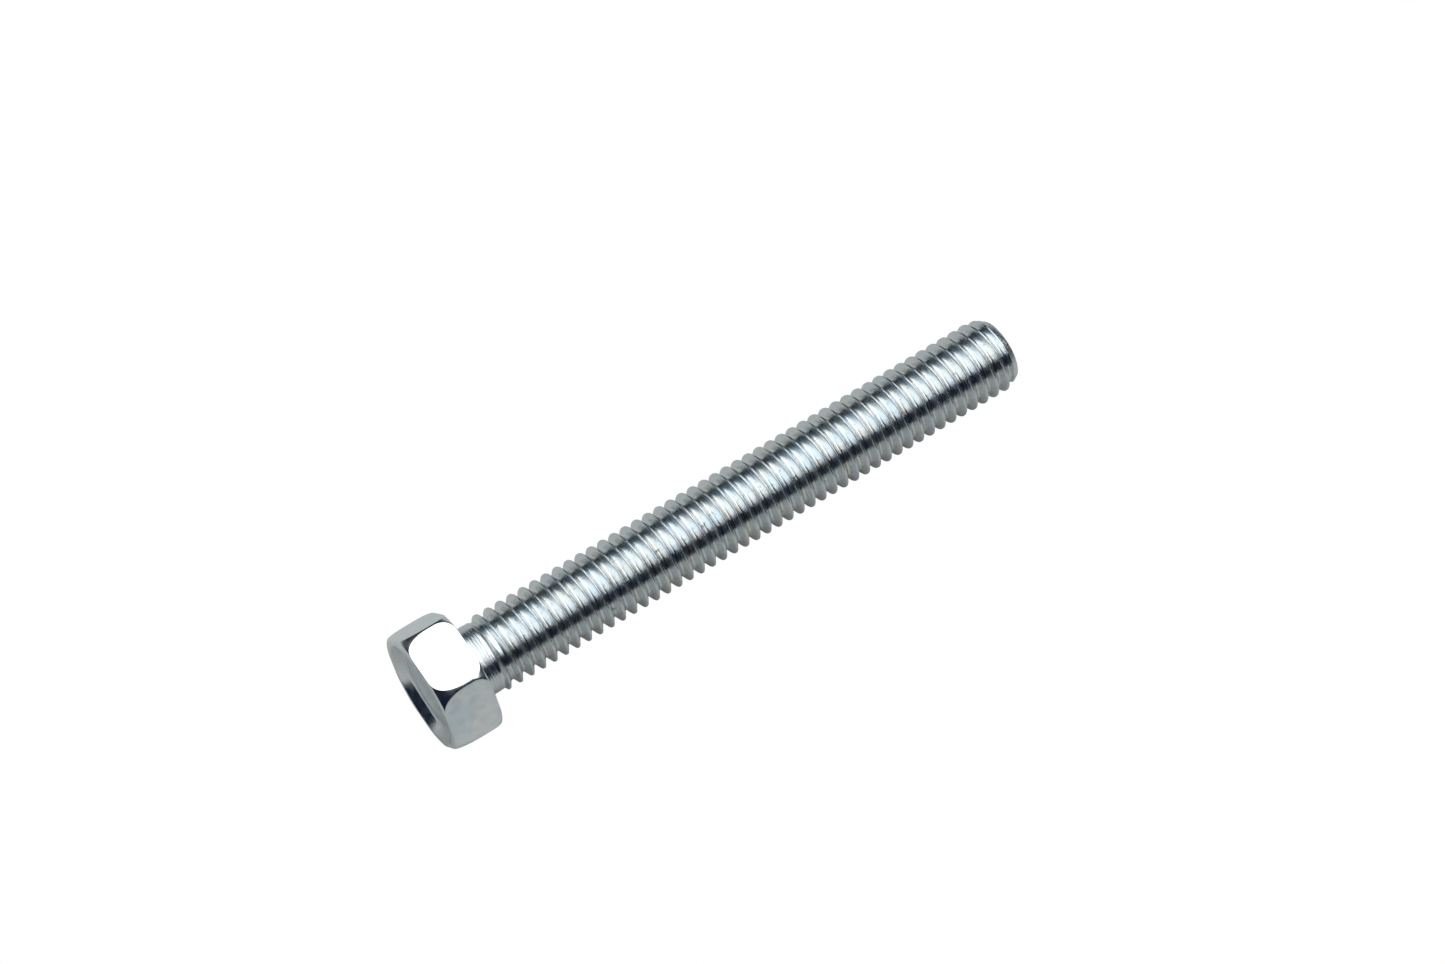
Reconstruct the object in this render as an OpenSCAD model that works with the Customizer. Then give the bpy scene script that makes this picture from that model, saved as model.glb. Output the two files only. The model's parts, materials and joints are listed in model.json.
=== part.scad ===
// Hex bolt, fully threaded, with an indented hexagon head, zinc-plated steel.
// The origin is the centre of the bearing face under the head. +X runs along the axis to the tip,
// and one flat of the hexagon faces down (-Z). The one forging is divided where its features change.

/* [Head] */
// Width across the flats of the hexagon
across_flats = 14.29; // [13.8:0.01:14.3]
// Height of the head, from the bearing face to the rim round the dished top
head_h = 6.4; // [5.8:0.05:6.8]
// Diameter that the blunted corners of the hexagon reach
across_corners = 16.3; // [15.8:0.05:16.5]
// Diameter of the bearing face, to where the corners start to round off
bearing_d = 15.2; // [14.4:0.1:15.6]
// Height over which the corners round off under the head
under_round_h = 1.2; // [0.6:0.1:2.2]
// Diameter of the top of the head, to where the corners start to round off
rim_d = 14.5; // [14.4:0.1:15.6]
// Height over which the corners round off at the top of the head
top_round_h = 3.4; // [1:0.1:3.5]

/* [Dished top] */
// Diameter of the dish at the rim
dish_d = 13; // [11.5:0.1:13.6]
// Diameter of the floor of the dish
dish_floor_d = 10.8; // [8:0.1:11]
// Depth of the dish
dish_depth = 1.15; // [0.4:0.05:1.5]

/* [Shank] */
// Length under the head
length = 76.2; // [60:0.1:100]
// Diameter of the plain neck, which is the blank before the thread is rolled
neck_d = 8.66; // [8.4:0.01:8.8]
// Length of the neck
neck_l = 2.4; // [1.6:0.1:3]
// Radius of the fillet between the bearing face and the neck
fillet_r = 0.5; // [0.4:0.05:0.8]
// Number of fine ridges that the rolling leaves on the neck
neck_ridges = 3; // [0:1:4]
// Height of a neck ridge
ridge_h = 0.08; // [0.02:0.01:0.15]

/* [Thread] */
// Pitch of the thread, crest to crest
pitch = 1.5875; // [1.4:0.0125:1.8]
// Diameter over the crests
major_d = 9.5; // [9.3:0.01:9.52]
// Diameter at the roots
minor_d = 7.6; // [7.4:0.01:7.8]
// Width of a crest, as a share of the pitch
crest_share = 0.14; // [0.1:0.01:0.2]
// Width of a root, as a share of the pitch
root_share = 0.2; // [0.1:0.01:0.24]
// Share of a turn by which the thread is turned about the axis
thread_phase = 0.57; // [0:0.01:0.99]
// Turns over which the groove sinks from the neck to its full depth
runout_turns = 1.2; // [0.5:0.1:2]

/* [Point] */
// Length of the chamfered point
point_l = 1.9; // [1.5:0.1:2.5]
// Diameter of the flat end
end_d = 7.9; // [7:0.1:8.4]

/* [Hidden] */

zinc = [0.79, 0.81, 0.82];
zinc_shade = [0.7, 0.72, 0.74];
curve_fn = 96;
hexagon = 6;
flat_down = 30;
slack = 1;
neck_root_depth = 0.8;
round_steps = 6;
ridge_start = fillet_r + 0.1;
major_r = major_d / 2;
minor_r = minor_d / 2;
neck_r = neck_d / 2;
turn_columns = 24;
rise_l = pitch / 4;
point_row_count = 10;
thread_rows = [0, crest_share, (1 + crest_share - root_share) / 2, (1 + crest_share + root_share) / 2];
point_rows = [for (i = [0 : point_row_count - 1]) i / point_row_count];

// Lays a shape that was drawn round the Z axis along the X axis.
module along_x() {
  rotate([0, 90, 0]) children();
}

// The hexagonal prism that the flats lie on, from below the head to above it.
module hex_prism() {
  corner_r = across_flats / 2 / cos(flat_down);
  translate([0, 0, -head_h - slack])
    rotate([0, 0, flat_down])
      linear_extrude(head_h + 2 * slack)
        circle(r = corner_r, $fn = hexagon);
}

// A quarter of an ellipse from [r0, 0] out to [r1, h], as points of [radius, depth].
function corner_round(r0, r1, h) = [
  for (i = [0 : round_steps])
    let (a = 90 * i / round_steps)
      [r0 + (r1 - r0) * sin(a), h * (1 - cos(a))]
];

// The turned outline that blunts the corners of the hexagon and rounds them off at both ends.
module head_outline() {
  under = corner_round(bearing_d / 2, across_corners / 2, under_round_h);
  top = corner_round(rim_d / 2, across_corners / 2, top_round_h);
  rotate_extrude($fn = curve_fn)
    polygon(concat(
      [[0, 0]],
      [for (p = under) [p[0], -p[1]]],
      [for (i = [round_steps : -1 : 0]) [top[i][0], top[i][1] - head_h]],
      [[0, -head_h]]
    ));
}

// The shallow dish in the top of the head.
module dish() {
  wall = (dish_d - dish_floor_d) / 2 / dish_depth;
  translate([0, 0, -head_h - slack])
    cylinder(r1 = dish_d / 2 + wall * slack, r2 = dish_floor_d / 2, h = dish_depth + slack, $fn = curve_fn);
}

// The head: a hexagon with rounded ends, a dished top and a seat for the root of the neck.
module hex_head() {
  color(zinc)
    along_x()
      difference() {
        intersection() {
          hex_prism();
          head_outline();
        }
        dish();
        translate([0, 0, -neck_root_depth])
          cylinder(r = neck_r + fillet_r, h = neck_root_depth + slack, $fn = curve_fn);
      }
}

// The fillet from the bearing face to the neck, as points of [radius, distance from the bearing face].
fillet_points = [
  for (i = [0 : round_steps])
    let (a = 90 * i / round_steps)
      [neck_r + fillet_r * (1 - sin(a)), fillet_r * (1 - cos(a))]
];

// The ridges on the neck: a root, a crest and a root for each.
ridge_w = (neck_l - ridge_start) / max(neck_ridges, 1);
ridge_points = [
  for (i = [0 : neck_ridges - 1])
    for (k = [0, 1])
      [neck_r + k * ridge_h, ridge_start + (i + k / 2) * ridge_w]
];

// The neck: the plain stretch under the head, with its root let into the head.
module neck() {
  color(zinc_shade)
    along_x()
      rotate_extrude($fn = curve_fn)
        polygon(concat(
          [[0, -neck_root_depth], [neck_r + fillet_r, -neck_root_depth]],
          fillet_points,
          ridge_points,
          [[neck_r, neck_l], [0, neck_l]]
        ));
}

// How far a point lies past the middle of the nearest crest, as a share of the pitch, from 0 to 1.
function past_crest(x, turn) =
  let (s = x / pitch - turn - thread_phase + crest_share / 2)
    s - floor(s);

// The radius of the endless thread: a crest, a flank down, a root and a flank up.
function endless_r(s) =
  let (flank = (1 - crest_share - root_share) / 2)
    s < crest_share ? major_r :
    s < crest_share + flank ? major_r - (major_r - minor_r) * (s - crest_share) / flank :
    s < crest_share + flank + root_share ? minor_r :
    minor_r + (major_r - minor_r) * (s - 1 + flank) / flank;

// The groove is no deeper than this: it sinks from the neck's surface as the thread begins.
function groove_floor(x) =
  neck_r - (neck_r - minor_r) * min(1, max(0, (x - neck_l) / (runout_turns * pitch)));

// The thread stands no higher than this: it rises from the neck and falls along the point.
function thread_top(x) =
  min(
    major_r,
    neck_r + (x - neck_l) * (major_r - neck_r) / rise_l,
    end_d / 2 + (length - x) * (major_r - end_d / 2) / (point_l - rise_l)
  );

function thread_r(x, turn) =
  min(thread_top(x), max(groove_floor(x), endless_r(past_crest(x, turn))));

// A length of right-hand thread from x0 to x1 as a closed solid. Its rows wind round the axis with the
// thread, rows giving their places within one pitch, and both its ends are flat.
module threaded_rod(x0, x1, rows) {
  m = len(rows);
  lead = thread_phase - crest_share / 2;
  first = floor(x0 / pitch - lead - 1) * m;
  last = ceil(x1 / pitch - lead) * m;
  count = last - first + 1;
  function row_x(i, j) =
    let (k = first + i)
      pitch * (floor(k / m) + rows[k - m * floor(k / m)] + lead + j / turn_columns);
  function on_rod(x, j) =
    let (a = 360 * j / turn_columns, r = thread_r(x, j / turn_columns))
      [x, -r * sin(a), r * cos(a)];
  start_ring = count * turn_columns;
  end_ring = start_ring + turn_columns;
  // A row past an end of the rod shares that end's ring, and one that has gone round once joins a later row.
  function at(i, j) =
    j == turn_columns ? at(min(i + m, count - 1), 0) :
    row_x(i, j) <= x0 ? start_ring + j :
    row_x(i, j) >= x1 ? end_ring + j :
    i * turn_columns + j;
  points = concat(
    [for (i = [0 : count - 1]) for (j = [0 : turn_columns - 1]) on_rod(row_x(i, j), j)],
    [for (j = [0 : turn_columns - 1]) on_rod(x0, j)],
    [for (j = [0 : turn_columns - 1]) on_rod(x1, j)],
    [[x0, 0, 0], [x1, 0, 0]]
  );
  sides = [
    for (i = [0 : count - 2])
      for (j = [0 : turn_columns - 1])
        for (t = [[at(i, j), at(i + 1, j), at(i + 1, j + 1)], [at(i, j), at(i + 1, j + 1), at(i, j + 1)]])
          if (t[0] != t[1] && t[1] != t[2] && t[2] != t[0]) t
  ];
  ends = [
    for (j = [0 : turn_columns - 1])
      let (next = (j + 1) % turn_columns)
        for (t = [
          [end_ring + turn_columns, start_ring + j, start_ring + next],
          [end_ring + turn_columns + 1, end_ring + next, end_ring + j]
        ])
          t
  ];
  polyhedron(points = points, faces = concat(sides, ends), convexity = 4);
}

// The rolled thread, from the neck to the point.
module thread() {
  color(zinc_shade) threaded_rod(neck_l, length - point_l, thread_rows);
}

// The chamfered point, through which the thread runs out to the flat end.
module point() {
  color(zinc) threaded_rod(length - point_l, length, point_rows);
}

hex_head();
neck();
thread();
point();
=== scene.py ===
"""A zinc-plated hex bolt, fully threaded, lying on a white table under one large softbox."""
import json
import math

import bpy
import numpy as np
from mathutils import Matrix, Vector


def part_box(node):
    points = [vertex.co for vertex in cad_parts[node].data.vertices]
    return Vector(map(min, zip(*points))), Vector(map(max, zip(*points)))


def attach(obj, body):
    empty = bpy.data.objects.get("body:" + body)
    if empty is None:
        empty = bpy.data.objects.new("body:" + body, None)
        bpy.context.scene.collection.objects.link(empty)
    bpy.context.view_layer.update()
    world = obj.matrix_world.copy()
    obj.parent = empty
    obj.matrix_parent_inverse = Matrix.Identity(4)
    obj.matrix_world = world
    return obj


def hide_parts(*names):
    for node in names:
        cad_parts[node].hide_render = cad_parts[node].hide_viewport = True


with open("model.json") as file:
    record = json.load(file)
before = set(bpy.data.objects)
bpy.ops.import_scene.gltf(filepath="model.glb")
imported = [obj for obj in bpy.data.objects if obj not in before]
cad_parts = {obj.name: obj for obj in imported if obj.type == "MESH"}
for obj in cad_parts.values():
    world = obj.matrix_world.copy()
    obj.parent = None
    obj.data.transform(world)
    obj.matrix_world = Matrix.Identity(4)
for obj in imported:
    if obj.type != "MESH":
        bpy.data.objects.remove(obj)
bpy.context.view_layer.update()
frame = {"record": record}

MM = 0.001
FULL_TURN = 2 * math.pi
ROOT = "root"
SHARP_ANGLE = math.radians(40)

# The frame's own sizes: the axis is X, and the bearing face is at X = 0.
HEAD_LOW, HEAD_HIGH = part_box("hex_head")
NECK_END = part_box("neck")[1].x
POINT_START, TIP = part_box("point")[0].x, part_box("point")[1].x
MOUNTS = {m["name"]: m for m in frame["record"]["mounts"]}
HEAD_H = -HEAD_LOW.x
FLAT_R = HEAD_HIGH.z
CORNER_R = HEAD_HIGH.y
MAJOR_R = MOUNTS["thread"]["dims"]["r_mm"] * MM

# Head
SIDES = 6
SIDE_COLUMNS = 64
WALL_ROWS = 64
EDGE_ROWS = 6
BEARING_R = 7.3 * MM
UNDER_ROUND_H = 1.9 * MM
RIM_R = 7.25 * MM
TOP_ROUND_H = 3.4 * MM
EDGE_R = 0.12 * MM
CREASE_BLEND = 0.06 * MM
SEAT_R = 4.83 * MM
SEAT_DEPTH = 0.8 * MM
DISH_R = 6.5 * MM
DISH_FLOOR_R = 5.4 * MM
DISH_DEPTH = 1.15 * MM
DISH_BLEND = 0.3 * MM
DISH_MIDDLE_R = 0.2 * MM
DISH_WALL_RINGS = 28
DISH_FLOOR_RINGS = 12
# Where the rings across the top face lie, as shares of the way out from the dish. The bearing
# face has the same rings, measured from its outer edge.
FACE_SHARES = (0.999, 0.97, 0.7, 0.35, 0.03)

# Neck
NECK_R = 4.33 * MM
FILLET_R = 0.5 * MM
FILLET_ROWS = 12
RIDGE_START = 0.65 * MM
RIDGE_PITCH = 0.36 * MM
RIDGE_HEIGHT = 0.06 * MM
NECK_ROWS = 60

# Thread
PITCH = 1.5875 * MM
MINOR_R = 3.8 * MM
CREST_W = 0.2 * MM
FLANK_SLOPE = math.tan(math.radians(60))
CREST_BLEND = 0.08 * MM
ROOT_BLEND = 0.24 * MM
SEAM_W = 0.05 * MM
SEAM_DEPTH = 0.025 * MM
THREAD_PHASE = 0.57
RUNOUT = 1.2 * PITCH
RUNOUT_BLEND = 0.01 * MM
RISE = PITCH / 4
END_R = 3.95 * MM
END_BLEND = 0.05 * MM
TURN_COLUMNS = 96
NORMAL_STEP = 0.002 * MM
# Distances of the rows from the crest, closer together on the crest and in the root
ROWS_FROM_CREST = np.array([0.02, 0.045, 0.07, 0.11, 0.16, 0.24, 0.35, 0.48, 0.6, 0.7]) * MM


def smooth_min(a, b, reach):
    """The smaller of a and b, blended where they differ by less than reach."""
    near = np.clip(reach - np.abs(a - b), 0, None) / reach
    return np.minimum(a, b) - near * near * reach / 4


def smooth_max(a, b, reach):
    """The larger of a and b, blended where they differ by less than reach."""
    return -smooth_min(-a, -b, reach)


def around(x, angle, radius):
    """Points at a distance along the axis, an angle from +Z towards -Y, and a radius."""
    x, angle, radius = np.broadcast_arrays(x, angle, radius)
    return np.stack([x, -radius * np.sin(angle), radius * np.cos(angle)], -1)


def mesh_piece(name, points, faces, normals=None):
    """A smooth-shaded object of these faces. Normals, where given, are one a corner."""
    mesh = bpy.data.meshes.new(name)
    mesh.from_pydata(points.tolist(), [], faces)
    mesh.update()
    mesh.shade_smooth()
    if normals is None:
        mesh.set_sharp_from_angle(angle=SHARP_ANGLE)
    else:
        mesh.normals_split_custom_set(normals)
    piece = bpy.data.objects.new(name, mesh)
    bpy.context.scene.collection.objects.link(piece)
    return piece


def ring_faces(ring_count, columns):
    """Faces of a closed skin of rings, each of the same columns, with a fan at both ends.
    The two middle points come after the rings."""
    faces = []
    for i in range(ring_count - 1):
        for j in range(columns):
            k = (j + 1) % columns
            near, far = i * columns, (i + 1) * columns
            faces.append((near + j, near + k, far + k, far + j))
    first, last = ring_count * columns, ring_count * columns + 1
    end = (ring_count - 1) * columns
    for j in range(columns):
        k = (j + 1) % columns
        faces.append((first, k, j))
        faces.append((last, end + j, end + k))
    return faces


def lathe_skin(name, radii, xs, angles):
    """A closed piece whose rings have radii[ring][column] at xs[ring][column]."""
    points = around(xs, angles, radii).reshape(-1, 3)
    middles = np.array([[xs[0].mean(), 0, 0], [xs[-1].mean(), 0, 0]])
    return mesh_piece(name, np.vstack([points, middles]), ring_faces(len(radii), len(angles)))


# ---------------------------------------------------------------- the head

def turned_outline(x):
    """The outline that blunts the corners of the hexagon and rounds them off at both ends."""
    under = np.clip(1 + x / UNDER_ROUND_H, 0, 1)
    top = np.clip(1 - (x + HEAD_H) / TOP_ROUND_H, 0, 1)
    under_r = BEARING_R + (CORNER_R - BEARING_R) * np.sqrt(1 - under * under)
    top_r = RIM_R + (CORNER_R - RIM_R) * np.sqrt(1 - top * top)
    return np.minimum(under_r, top_r)


def head_angles():
    """Angles round the head, closer together towards the corners, where the flats end."""
    step = np.arange(SIDE_COLUMNS) / SIDE_COLUMNS * 2 - 1
    within = math.pi / SIDES * np.sin(math.pi / 2 * step)
    return np.concatenate([within + FULL_TURN * side / SIDES for side in range(SIDES)])


def head_wall_rows():
    """Places along the head's side, from the bearing face to the top, dense at the two edges."""
    arc = EDGE_R * (1 - np.cos(np.linspace(0, math.pi / 2, EDGE_ROWS)))
    inner = HEAD_H - 2 * EDGE_R
    wall = EDGE_R + inner * (1 - np.cos(np.linspace(0, math.pi, WALL_ROWS))) / 2
    return -np.concatenate([arc[:-1], wall, HEAD_H - arc[-2::-1]])


def edge_cut(x):
    """How far the side draws in at its two ends, so that it meets them in a small round."""
    from_end = np.clip(np.minimum(-x, HEAD_H + x), 0, EDGE_R)
    return EDGE_R - np.sqrt(EDGE_R ** 2 - (EDGE_R - from_end) ** 2)


def dish_depth(radius):
    """How far the dish lies below the rim: a sloping wall that runs into a flat floor."""
    slope = DISH_DEPTH / (DISH_R - DISH_FLOOR_R)
    wall = np.maximum(slope * (DISH_R - radius), 0)
    return smooth_min(wall, DISH_DEPTH, DISH_BLEND)


def build_head():
    angles = head_angles()
    off_flat = (angles + math.pi / SIDES) % (FULL_TURN / SIDES) - math.pi / SIDES
    rows = head_wall_rows()[:, None]
    flat_r = FLAT_R / np.cos(off_flat)[None, :]
    wall_r = smooth_min(flat_r, turned_outline(rows), CREASE_BLEND) - edge_cut(rows)
    columns = np.ones_like(angles)

    face_share = np.array(FACE_SHARES)[:, None]
    seat_x = np.array([-SEAT_DEPTH, -SEAT_DEPTH, 0])[:, None] * columns
    seat_r = np.array([SEAT_R / 2, SEAT_R, SEAT_R])[:, None] * columns
    bearing_r = SEAT_R + (wall_r[0] - SEAT_R) * (1 - face_share)
    ring_r = DISH_R + (wall_r[-1] - DISH_R) * face_share
    dish_r = np.concatenate([
        np.linspace(DISH_R, DISH_FLOOR_R - 2 * DISH_BLEND, DISH_WALL_RINGS),
        np.linspace(DISH_FLOOR_R - 3 * DISH_BLEND, DISH_MIDDLE_R, DISH_FLOOR_RINGS),
    ])[:, None] * columns
    radii = np.vstack([seat_r, bearing_r, wall_r, ring_r, dish_r])
    xs = np.vstack([
        seat_x,
        0 * bearing_r,
        rows * columns,
        0 * ring_r - HEAD_H,
        dish_depth(dish_r) - HEAD_H,
    ])
    return lathe_skin("forged_head", radii, xs, angles)


# ---------------------------------------------------------------- the neck

def neck_radius(x):
    """The neck's outline: a fillet, then fine ridges as far as the thread."""
    fillet = FILLET_R - np.sqrt(np.clip(FILLET_R ** 2 - (FILLET_R - x) ** 2, 0, None))
    turn = (x - RIDGE_START) / RIDGE_PITCH
    fade = np.clip(turn, 0, 1) * np.clip((NECK_END - x) / RIDGE_PITCH, 0, 1)
    ridge = RIDGE_HEIGHT * fade * ((1 - np.cos(FULL_TURN * turn)) / 2) ** 2
    return NECK_R + np.where(x < FILLET_R, fillet, 0) + ridge


def build_neck():
    angles = np.linspace(0, FULL_TURN, TURN_COLUMNS, endpoint=False)
    columns = np.ones_like(angles)
    arc = FILLET_R * (1 - np.cos(np.linspace(0, math.pi / 2, FILLET_ROWS)))
    rows = np.concatenate([arc, np.linspace(FILLET_R, NECK_END, NECK_ROWS)[1:]])
    radii = np.concatenate([[SEAT_R / 2, SEAT_R], neck_radius(rows), [NECK_R / 2]])
    xs = np.concatenate([[-SEAT_DEPTH, -SEAT_DEPTH], rows, [NECK_END]])
    return lathe_skin("neck_collar", radii[:, None] * columns, xs[:, None] * columns, angles)


# ---------------------------------------------------------------- the thread

def crest_distance(x, angle):
    """Distance along the axis from the middle of the nearest crest, from 0 to half a pitch."""
    turn = x / PITCH - angle / FULL_TURN - THREAD_PHASE
    return np.abs(turn - np.round(turn)) * PITCH


def thread_radius(x, angle):
    """The rolled thread: round roots, crests with the seam that rolling leaves, and run-outs."""
    off = crest_distance(x, angle)
    flank = MAJOR_R - (off - CREST_W / 2) * FLANK_SLOPE
    profile = smooth_min(flank, MAJOR_R, CREST_BLEND)
    seam = SEAM_DEPTH * np.clip(1 - (off / SEAM_W) ** 2, 0, None)
    sunk = np.clip((x - NECK_END) / RUNOUT, 0, 1)
    floor = NECK_R - (NECK_R - MINOR_R) * sunk
    profile = smooth_max(profile - seam, floor, ROOT_BLEND * sunk + RUNOUT_BLEND)
    rise = NECK_R + (x - NECK_END) * (MAJOR_R - NECK_R) / RISE
    point = END_R + (TIP - x) * (MAJOR_R - END_R) / (TIP - POINT_START - RISE)
    return smooth_min(profile, np.minimum(rise, point), END_BLEND)


def thread_normals(x, angle):
    """The true normals of the thread's surface, from its slopes along and round the axis."""
    turn = NORMAL_STEP / MAJOR_R
    r = thread_radius(x, angle)
    ahead, behind = thread_radius(x + NORMAL_STEP, angle), thread_radius(x - NORMAL_STEP, angle)
    r_x = (ahead - behind) / (2 * NORMAL_STEP)
    r_a = (thread_radius(x, angle + turn) - thread_radius(x, angle - turn)) / (2 * turn)
    outward = np.stack([0 * x, -np.sin(angle), np.cos(angle)], -1)
    onward = np.stack([0 * x, -np.cos(angle), -np.sin(angle)], -1)
    normal = outward - (r_a / r)[..., None] * onward
    normal[..., 0] -= r_x
    return normal / np.linalg.norm(normal, axis=-1, keepdims=True)


def thread_rows():
    """Places of the rows within one pitch, as shares of it."""
    mirrored = PITCH - ROWS_FROM_CREST[::-1]
    return np.concatenate([[0], ROWS_FROM_CREST, [PITCH / 2], mirrored]) / PITCH


def end_fans(middle, start_ring):
    """The flat ends of a rod, as faces and a normal for each corner."""
    faces, normals = [], []
    for ring, side in ((start_ring, -1), (start_ring + TURN_COLUMNS, 1)):
        for k in range(TURN_COLUMNS):
            a, b = ring + k, ring + (k + 1) % TURN_COLUMNS
            faces.append((middle, b, a) if side < 0 else (middle, a, b))
            normals.extend([(side, 0, 0)] * 3)
        middle += 1
    return faces, normals


def build_rod(name, start, end):
    """The thread from start to end, its rows winding round the axis, with flat ends."""
    rows = thread_rows()
    m = len(rows)
    first_turn = math.floor(start / PITCH - THREAD_PHASE) - 1
    last_turn = math.ceil(end / PITCH - THREAD_PHASE) + 1
    places = (np.arange(first_turn, last_turn)[:, None] + rows[None, :]).reshape(-1)
    count = len(places)
    j = np.arange(TURN_COLUMNS)
    angles = FULL_TURN * j / TURN_COLUMNS
    x = PITCH * (places[:, None] + THREAD_PHASE + j[None, :] / TURN_COLUMNS)
    angle = np.broadcast_to(angles, x.shape)

    ring_x = np.array([start, end])[:, None] * np.ones(TURN_COLUMNS)
    all_x = np.concatenate([x.ravel(), ring_x.ravel()])
    all_angle = np.concatenate([angle.ravel(), angles, angles])
    points = around(all_x, all_angle, thread_radius(all_x, all_angle))
    normals = thread_normals(all_x, all_angle)

    # A row past an end of the rod shares that end's ring, and a row that has gone round once
    # joins a later row.
    start_ring = count * TURN_COLUMNS
    index = np.arange(count * TURN_COLUMNS).reshape(count, TURN_COLUMNS)
    index = np.where(x <= start, start_ring + j, index)
    index = np.where(x >= end, start_ring + TURN_COLUMNS + j, index)
    wrapped = np.concatenate([index[m:, 0], np.full(m, start_ring + TURN_COLUMNS)])
    index = np.column_stack([index, wrapped])

    faces, corner_normals = [], []
    for i in range(count - 1):
        for k in range(TURN_COLUMNS):
            loop = [index[i, k], index[i, k + 1], index[i + 1, k + 1], index[i + 1, k]]
            face = [int(v) for n, v in enumerate(loop) if v != loop[n - 1]]
            if len(set(face)) > 2:
                faces.append(face)
                corner_normals.extend(normals[face])
    fans, fan_normals = end_fans(len(points), start_ring)
    faces += fans
    corner_normals += fan_normals
    points = np.vstack([points, [[start, 0, 0], [end, 0, 0]]])

    used = np.unique(np.concatenate([np.array(f) for f in faces]))
    renumber = np.zeros(len(points), int)
    renumber[used] = np.arange(len(used))
    faces = [[int(renumber[v]) for v in f] for f in faces]
    return mesh_piece(name, points[used], faces, np.array(corner_normals))


# ---------------------------------------------------------------- the plating

class Shader:
    """Adds nodes to a node tree and links them, so that a material reads as a few lines."""

    def __init__(self, tree):
        self.tree = tree

    def node(self, kind, **settings):
        made = self.tree.nodes.new(kind)
        for key, value in settings.items():
            setattr(made, key, value)
        return made

    def put(self, socket, value):
        if isinstance(value, bpy.types.NodeSocket):
            self.tree.links.new(value, socket)
        else:
            socket.default_value = value

    def place(self):
        """The place on the object, in metres."""
        return self.node("ShaderNodeTexCoord").outputs["Object"]

    def math(self, operation, *values):
        made = self.node("ShaderNodeMath", operation=operation)
        for socket, value in zip(made.inputs, values):
            self.put(socket, value)
        return made.outputs[0]

    def distance(self, a, b):
        """The length of the two sides a and b taken square to each other."""
        squares = self.math("MULTIPLY", a, a), self.math("MULTIPLY", b, b)
        return self.math("SQRT", self.math("ADD", *squares))

    def noise(self, vector, scale, detail=2.0, roughness=0.5, w=None):
        made = self.node("ShaderNodeTexNoise", noise_dimensions="3D" if w is None else "4D")
        self.put(made.inputs["Vector"], vector)
        self.put(made.inputs["Scale"], scale)
        self.put(made.inputs["Detail"], detail)
        self.put(made.inputs["Roughness"], roughness)
        if w is not None:
            self.put(made.inputs["W"], w)
        return made.outputs["Fac"]

    def ramp(self, value, low, high, to_low=0.0, to_high=1.0):
        made = self.node("ShaderNodeMapRange", interpolation_type="SMOOTHSTEP")
        for socket, given in zip(made.inputs, (value, low, high, to_low, to_high)):
            self.put(socket, given)
        return made.outputs[0]

    def mix(self, share, a, b):
        made = self.node("ShaderNodeMix", data_type="RGBA")
        self.put(made.inputs["Factor"], share)
        colours = [s for s in made.inputs if s.type == "RGBA"]
        self.put(colours[0], a)
        self.put(colours[1], b)
        return next(s for s in made.outputs if s.type == "RGBA")

    def join(self, x, y, z):
        made = self.node("ShaderNodeCombineXYZ")
        for socket, value in zip(made.inputs, (x, y, z)):
            self.put(socket, value)
        return made.outputs[0]

    def split(self, vector):
        made = self.node("ShaderNodeSeparateXYZ")
        self.put(made.inputs[0], vector)
        return made.outputs

    def bump(self, height, distance, after=None):
        made = self.node("ShaderNodeBump")
        self.put(made.inputs["Height"], height)
        self.put(made.inputs["Distance"], distance)
        self.put(made.inputs["Strength"], 1.0)
        if after is not None:
            self.put(made.inputs["Normal"], after)
        return made.outputs[0]


ZINC = (0.83, 0.84, 0.83, 1)
ZINC_WARM = (0.80, 0.73, 0.58, 1)
ZINC_BLUE = (0.70, 0.78, 0.81, 1)
ROLLED = (0.70, 0.72, 0.71, 1)
ROLLED_BLUE = (0.64, 0.70, 0.73, 1)
ROLLED_WARM = (0.66, 0.58, 0.44, 1)
GRIME = (0.20, 0.17, 0.14, 1)
HEAD_ROUGHNESS = 0.12, 0.24
THREAD_ROUGHNESS = 0.08, 0.24

# Noise over the object, its scales in features a metre, and the depth of the orange peel
CLOUD_SCALE = 260
PATCH_SCALE = 700
GLOSS_SCALE = 900
PEEL_SCALE = 1400
PEEL_DEPTH = 0.004 * MM
STAIN_SCALE = 330
TINT_SCALE = 500
SPECK_SCALE = 2600

# The space that the streaks lie in, where a pitch is a circle of this radius and a streak changes
# over these lengths. The scales of its noise have no unit, and the depths are of the bumps.
STREAK_ACROSS = 1.6
STREAK_LENGTH = 5 * MM
STREAK_SHIFT = 1.2 * MM
STREAK_SCALE = 1.6
STREAK_DEPTH = 0.035 * MM
SCORE_SCALE = 5.0
SCORE_DEPTH = 0.012 * MM


def new_material(name):
    """A material with a metallic surface, and the means to add nodes to it."""
    material = bpy.data.materials.new(name)
    material.use_nodes = True
    tree = material.node_tree
    surface = next(n for n in tree.nodes if n.type == "BSDF_PRINCIPLED")
    surface.inputs["Metallic"].default_value = 1.0
    return material, Shader(tree), surface


def head_zinc():
    """Smooth forged zinc: faint clouds and warm patches, uneven gloss and orange peel."""
    material, s, surface = new_material("zinc_forged")
    place = s.place()
    clouds = s.ramp(s.noise(place, CLOUD_SCALE, 3, 0.6), 0.35, 0.7)
    patches = s.ramp(s.noise(place, PATCH_SCALE), 0.62, 0.74, 0, 0.25)
    tint = s.mix(patches, s.mix(clouds, ZINC, ZINC_BLUE), ZINC_WARM)
    s.put(surface.inputs["Base Color"], tint)
    gloss = s.ramp(s.noise(place, GLOSS_SCALE, 3), 0.3, 0.7, *HEAD_ROUGHNESS)
    s.put(surface.inputs["Roughness"], gloss)
    s.put(surface.inputs["Normal"], s.bump(s.noise(place, PEEL_SCALE), PEEL_DEPTH))
    return material


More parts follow.
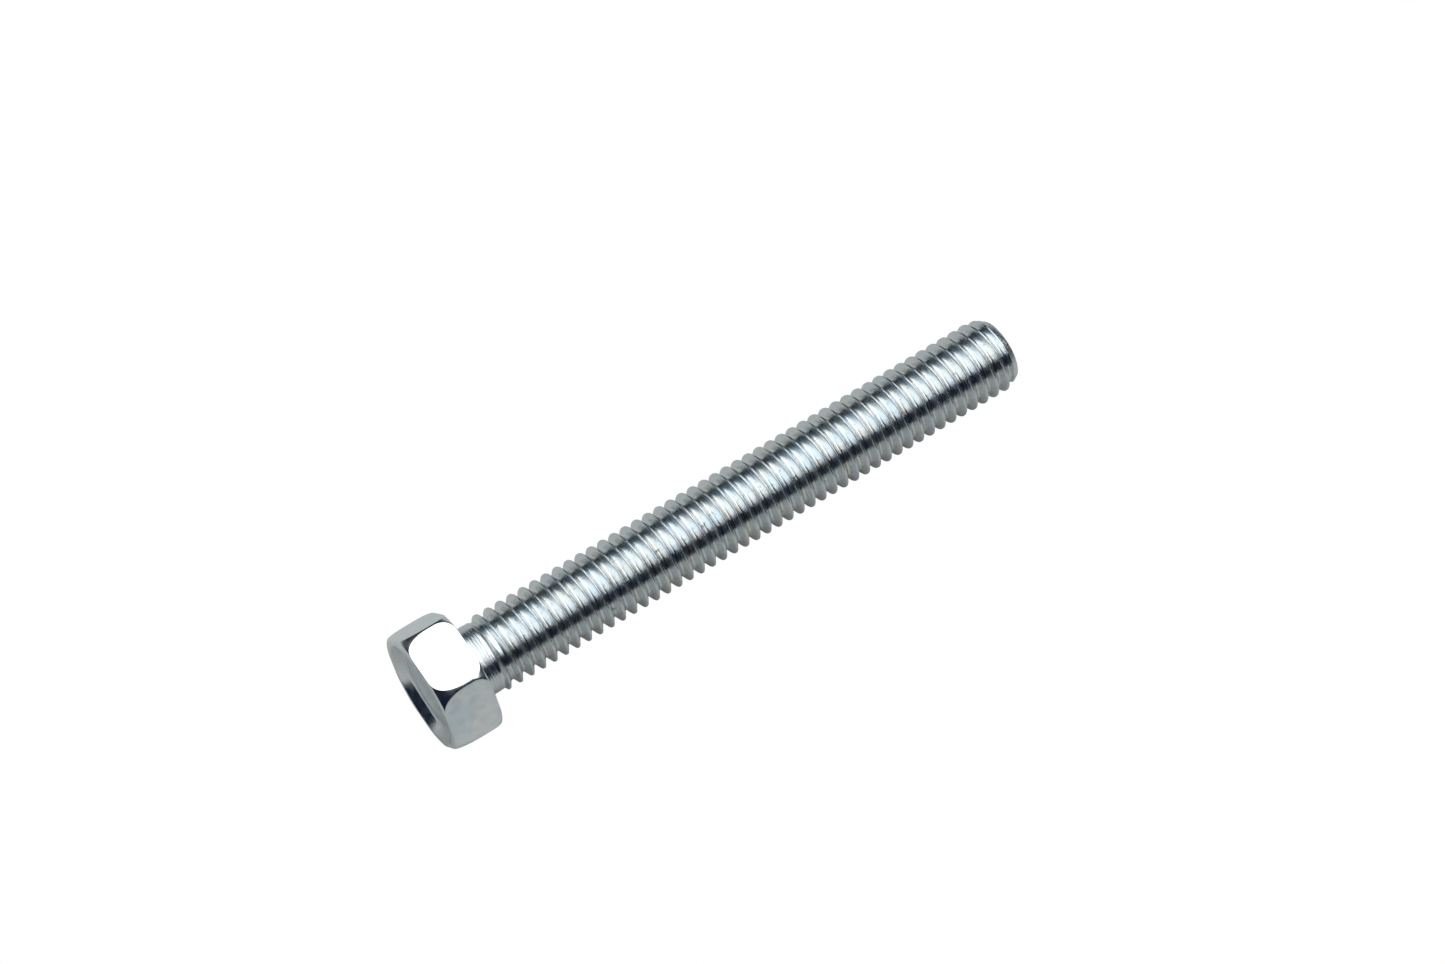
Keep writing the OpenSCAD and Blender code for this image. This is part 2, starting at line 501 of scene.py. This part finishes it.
def streak_space(s, x, y, z):
    """Places for noise that follows the thread and has no seam, as a vector and a fourth value."""
    angle = s.math("ARCTAN2", s.math("MULTIPLY", y, -1), z)
    turn = s.math("SUBTRACT", s.math("DIVIDE", x, PITCH), s.math("DIVIDE", angle, FULL_TURN))
    wound = s.math("MULTIPLY", turn, FULL_TURN)
    across = s.join(
        s.math("MULTIPLY", s.math("COSINE", wound), STREAK_ACROSS),
        s.math("MULTIPLY", s.math("SINE", wound), STREAK_ACROSS),
        s.math("DIVIDE", y, STREAK_LENGTH),
    )
    along = s.math("ADD", s.math("DIVIDE", z, STREAK_LENGTH), s.math("DIVIDE", x, STREAK_SHIFT))
    return across, along


def thread_zinc():
    """Rolled zinc: fine streaks along the thread, warm stains in the roots and dark specks."""
    material, s, surface = new_material("zinc_rolled")
    place = s.place()
    x, y, z = s.split(place)
    across, along = streak_space(s, x, y, z)
    streaks = s.noise(across, STREAK_SCALE, 4, 0.65, w=along)
    scores = s.noise(across, SCORE_SCALE, 3, 0.7, w=along)
    root = s.ramp(s.distance(y, z), MINOR_R, MAJOR_R, 1, 0)
    stained = s.ramp(s.noise(place, STAIN_SCALE), 0.45, 0.62, 0, 0.3)
    stain = s.math("MULTIPLY", s.ramp(root, 0.72, 0.98), stained)
    specks = s.ramp(s.noise(place, SPECK_SCALE, 2, 0.6), 0.62, 0.74)
    dirt = s.math("MULTIPLY", specks, s.ramp(root, 0.3, 0.9, 0.15, 1))
    tint = s.mix(s.ramp(s.noise(place, TINT_SCALE, 3), 0.35, 0.7), ROLLED, ROLLED_BLUE)
    tint = s.mix(stain, tint, ROLLED_WARM)
    s.put(surface.inputs["Base Color"], s.mix(dirt, tint, GRIME))
    s.put(surface.inputs["Roughness"], s.ramp(streaks, 0.3, 0.7, *THREAD_ROUGHNESS))
    streaked = s.bump(streaks, STREAK_DEPTH)
    s.put(surface.inputs["Normal"], s.bump(scores, SCORE_DEPTH, after=streaked))
    return material


# ---------------------------------------------------------------- the studio

CAMERA_AZIMUTH = math.radians(-41.19)
CAMERA_ELEVATION = math.radians(64.87)
CAMERA_ROLL = math.radians(7.65)
CAMERA_DISTANCE = 448.3 * MM
CAMERA_AIM = Vector((37.67, 3.03, 1.28)) * MM
LENS = 94.45
SENSOR_WIDTH = 36
CLIP_NEAR, CLIP_FAR = 0.01, 20

# Directions over the table: away from the camera, to its right, and up
BACK = Vector((-math.sin(CAMERA_AZIMUTH), math.cos(CAMERA_AZIMUTH), 0))
RIGHT = Vector((BACK.y, -BACK.x, 0))
UP = Vector((0, 0, 1))

TABLE_R = 3
TABLE_SIDES = 64
TABLE_Z = HEAD_LOW.z
WHITE = (1, 1, 1, 1)
# Colours of the table in reflections: pale near the bolt and dark far off, painted light falling
# off away from the bolt
NEAR_CARD_PAINTED_LIT = (0.52, 0.52, 0.50, 1)
FAR_TABLE_PAINTED_DIM = (0.14, 0.17, 0.17, 1)
# Distances from the origin over which the pale near sheet gives way to the dark table, a painted
# falloff of light away from the bolt
PAINTED_FALLOFF_SPAN = 0.07, 0.22

ROOM_FRONT = (0.008, 0.013, 0.028, 1)
ROOM_BACK = (0.09, 0.15, 0.20, 1)
ROOM_HORIZON = (0.035, 0.026, 0.022, 1)
# Parts of a direction's length: upwards, where the horizon gives way to the wall behind, and away
# from the camera, where the dark front does
HORIZON_FADE = 0.15, 0.4
FRONT_FADE = -0.2, 0.4

SOFTBOX_X = 0.03
SOFTBOX_HEIGHT = 0.6
SOFTBOX_WIDTH = 1.6
SOFTBOX_FRONT = -0.42 * SOFTBOX_HEIGHT
SOFTBOX_BACK = 1.04 * SOFTBOX_HEIGHT
SOFTBOX_POWER = 8.6
SOFTBOX_COLOUR = (0.96, 0.98, 1)


def add_camera():
    data = bpy.data.cameras.new("camera")
    data.sensor_width = SENSOR_WIDTH
    data.lens = LENS
    data.clip_start, data.clip_end = CLIP_NEAR, CLIP_FAR
    camera = bpy.data.objects.new("camera", data)
    bpy.context.scene.collection.objects.link(camera)
    view = BACK * math.cos(CAMERA_ELEVATION) - UP * math.sin(CAMERA_ELEVATION)
    turn = view.to_track_quat("-Z", "Y").to_matrix() @ Matrix.Rotation(CAMERA_ROLL, 3, "Z")
    camera.matrix_world = Matrix.Translation(CAMERA_AIM - view * CAMERA_DISTANCE) @ turn.to_4x4()
    bpy.context.scene.camera = camera


def white_to_camera(s, seen_otherwise, white_shader):
    """White where the camera sees it directly, and its own look in reflections and as light."""
    mixed = s.node("ShaderNodeMixShader")
    s.put(mixed.inputs[0], s.node("ShaderNodeLightPath").outputs["Is Camera Ray"])
    s.put(mixed.inputs[1], seen_otherwise)
    s.put(mixed.inputs[2], white_shader)
    return mixed.outputs[0]


def table_with_painted_falloff():
    """The table's material, white to the camera: in reflections a pale sheet round the bolt on a
    darker table, the fade between them a painted pool of light.
    """
    material = bpy.data.materials.new("white_table_painted_falloff")
    material.use_nodes = True
    s = Shader(material.node_tree)
    s.tree.nodes.clear()
    x, y, _ = s.split(s.place())
    # A diffuse floor whose colour fades from pale to dark with distance from the bolt: painted
    # falloff of light
    painted_falloff_sheet = s.node("ShaderNodeBsdfDiffuse")
    s.put(painted_falloff_sheet.inputs["Color"], s.mix(s.ramp(s.distance(x, y), *PAINTED_FALLOFF_SPAN), NEAR_CARD_PAINTED_LIT, FAR_TABLE_PAINTED_DIM))
    white = s.node("ShaderNodeEmission")
    s.put(white.inputs["Color"], WHITE)
    out = s.node("ShaderNodeOutputMaterial")
    s.put(out.inputs["Surface"], white_to_camera(s, painted_falloff_sheet.outputs[0], white.outputs[0]))
    return material


def add_table():
    """A large round table top that the head's lower flat lies on."""
    mesh = bpy.data.meshes.new("table")
    spread = np.linspace(0, FULL_TURN, TABLE_SIDES, endpoint=False)
    rim = [(TABLE_R * math.cos(a), TABLE_R * math.sin(a), 0) for a in spread]
    mesh.from_pydata(rim, [], [tuple(range(TABLE_SIDES))])
    mesh.materials.append(table_with_painted_falloff())
    table = bpy.data.objects.new("table", mesh)
    table.location.z = TABLE_Z
    bpy.context.scene.collection.objects.link(table)


def add_softbox():
    """One large softbox overhead, its edges in line with the camera's view over the table."""
    data = bpy.data.lights.new("softbox", "AREA")
    data.shape = "RECTANGLE"
    data.size, data.size_y = SOFTBOX_WIDTH, SOFTBOX_BACK - SOFTBOX_FRONT
    data.energy = SOFTBOX_POWER
    data.color = SOFTBOX_COLOUR
    lamp = bpy.data.objects.new("softbox", data)
    bpy.context.scene.collection.objects.link(lamp)
    centre = Vector((SOFTBOX_X, 0, SOFTBOX_HEIGHT)) + BACK * (SOFTBOX_FRONT + SOFTBOX_BACK) / 2
    turn = Matrix((RIGHT, BACK, UP)).transposed()
    lamp.matrix_world = Matrix.Translation(centre) @ turn.to_4x4()
    lamp.visible_camera = False


def add_world():
    """A dim room, white to the camera: dark on its side, and blue-grey over brown behind."""
    world = bpy.data.worlds.new("studio")
    bpy.context.scene.world = world
    world.use_nodes = True
    s = Shader(world.node_tree)
    s.tree.nodes.clear()
    x, y, z = s.split(s.node("ShaderNodeTexCoord").outputs["Generated"])
    behind = s.math("ADD", s.math("MULTIPLY", x, BACK.x), s.math("MULTIPLY", y, BACK.y))
    back = s.mix(s.ramp(z, *HORIZON_FADE), ROOM_HORIZON, ROOM_BACK)
    room = s.node("ShaderNodeBackground")
    s.put(room.inputs["Color"], s.mix(s.ramp(behind, *FRONT_FADE), ROOM_FRONT, back))
    white = s.node("ShaderNodeBackground")
    s.put(white.inputs["Color"], WHITE)
    out = s.node("ShaderNodeOutputWorld")
    s.put(out.inputs["Surface"], white_to_camera(s, room.outputs[0], white.outputs[0]))


def place_on_frame(piece, node, material):
    piece.data.materials.append(material)
    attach(piece, ROOT)
    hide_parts(node)


def build_bolt():
    forged, rolled = head_zinc(), thread_zinc()
    place_on_frame(build_head(), "hex_head", forged)
    place_on_frame(build_neck(), "neck", rolled)
    place_on_frame(build_rod("rolled_thread", NECK_END, POINT_START), "thread", rolled)
    place_on_frame(build_rod("chamfered_point", POINT_START, TIP), "point", rolled)


add_camera()
build_bolt()
add_table()
add_world()
add_softbox()
bpy.context.scene.view_settings.view_transform = "Standard"
